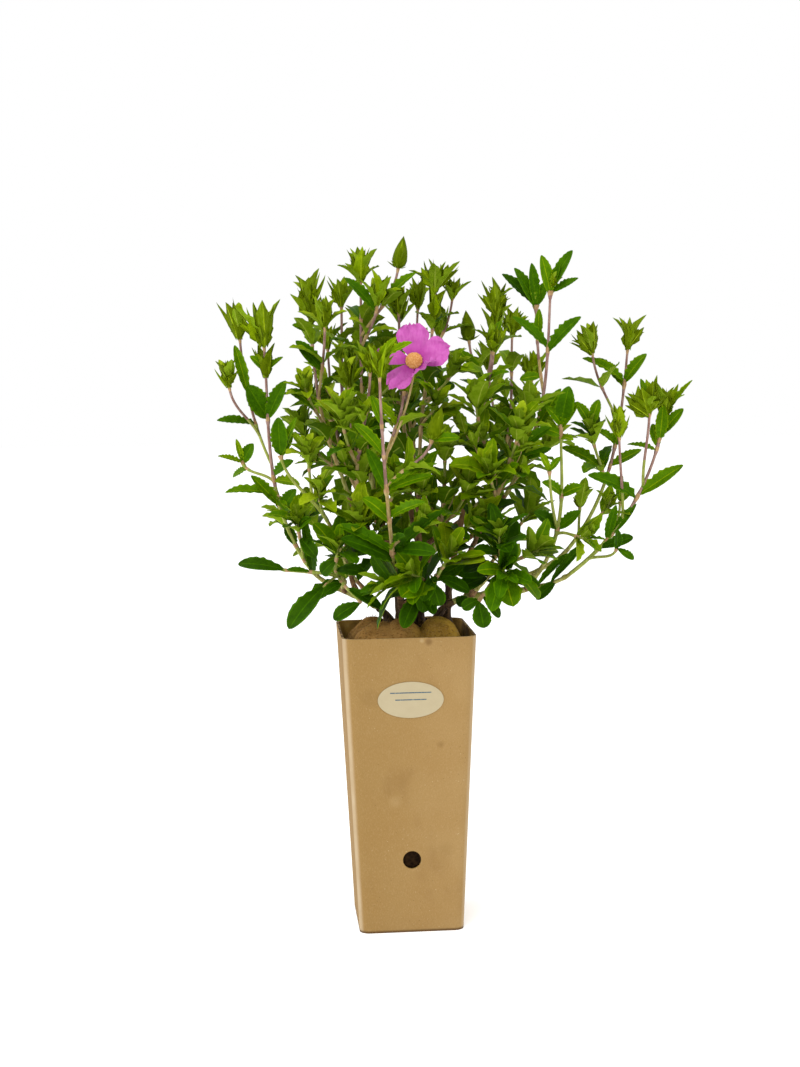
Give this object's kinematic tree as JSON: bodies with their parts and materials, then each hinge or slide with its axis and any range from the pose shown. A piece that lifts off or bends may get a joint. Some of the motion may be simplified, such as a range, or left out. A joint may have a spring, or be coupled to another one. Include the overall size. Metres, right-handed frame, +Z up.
{
  "type": "potted rockrose shrub",
  "caption": "Young evergreen rockrose with leafy upright shoots, bud clusters and a pink flower, on its wrapped root ball in a tall square carton pot.",
  "frame": {"origin": "middle of the pot's flat underside", "axes": "+Z up, the labelled face of the pot looks along -Y, +X to the right of it"},
  "size_m": [0.3456, 0.2661, 0.4975],
  "materials": {
    "carton": "matt brown board, faintly mottled",
    "label": "cream paper oval with two thin blue-grey ruled lines",
    "wrap": "tan fibrous wrap over dark earth",
    "bark": "dull reddish-brown young bark",
    "foliage": "soft yellowish-green leaves with a dull sheen",
    "petal": "crumpled magenta-pink petals round an orange boss"
  },
  "bodies": {
    "root": {"bough_back_left": "bark", "bough_back_right": "bark", "bough_centre_right": "bark", "bough_front_left": "bark", "bough_left_low": "bark", "bough_left_mid": "bark", "bough_left_top": "bark", "bough_low_back": "bark", "bough_low_front": "bark", "bough_low_left": "bark", "bough_low_middle": "bark", "bough_low_right": "bark", "bough_low_side": "bark", "bough_middle_left": "bark", "bough_middle_right": "bark", "bough_right": "bark", "bough_right_low": "bark", "bough_right_top": "bark", "bough_top_centre_back": "bark", "flower": "petal", "foliage_back_centre": "foliage", "foliage_back_left": "foliage", "foliage_back_right": "foliage", "foliage_centre_right": "foliage", "foliage_far_left": "foliage", "foliage_far_right": "foliage", "foliage_front": "foliage", "foliage_front_left": "foliage", "foliage_left_low": "foliage", "foliage_left_mid": "foliage", "foliage_left_top": "foliage", "foliage_low_back": "foliage", "foliage_low_front": "foliage", "foliage_low_left": "foliage", "foliage_low_middle": "foliage", "foliage_low_right": "foliage", "foliage_low_side": "foliage", "foliage_middle_left": "foliage", "foliage_middle_right": "foliage", "foliage_right": "foliage", "foliage_right_low": "foliage", "foliage_right_top": "foliage", "foliage_top_centre": "foliage", "foliage_top_centre_back": "foliage", "foliage_top_left": "foliage", "foliage_top_right": "foliage", "label": "label", "pot": "carton", "root_ball": "wrap", "stem_back_centre": "bark", "stem_far_left": "bark", "stem_far_right": "bark", "stem_front": "bark", "stem_top_centre": "bark", "stem_top_left": "bark", "stem_top_right": "bark"}
  },
  "joints": []
}
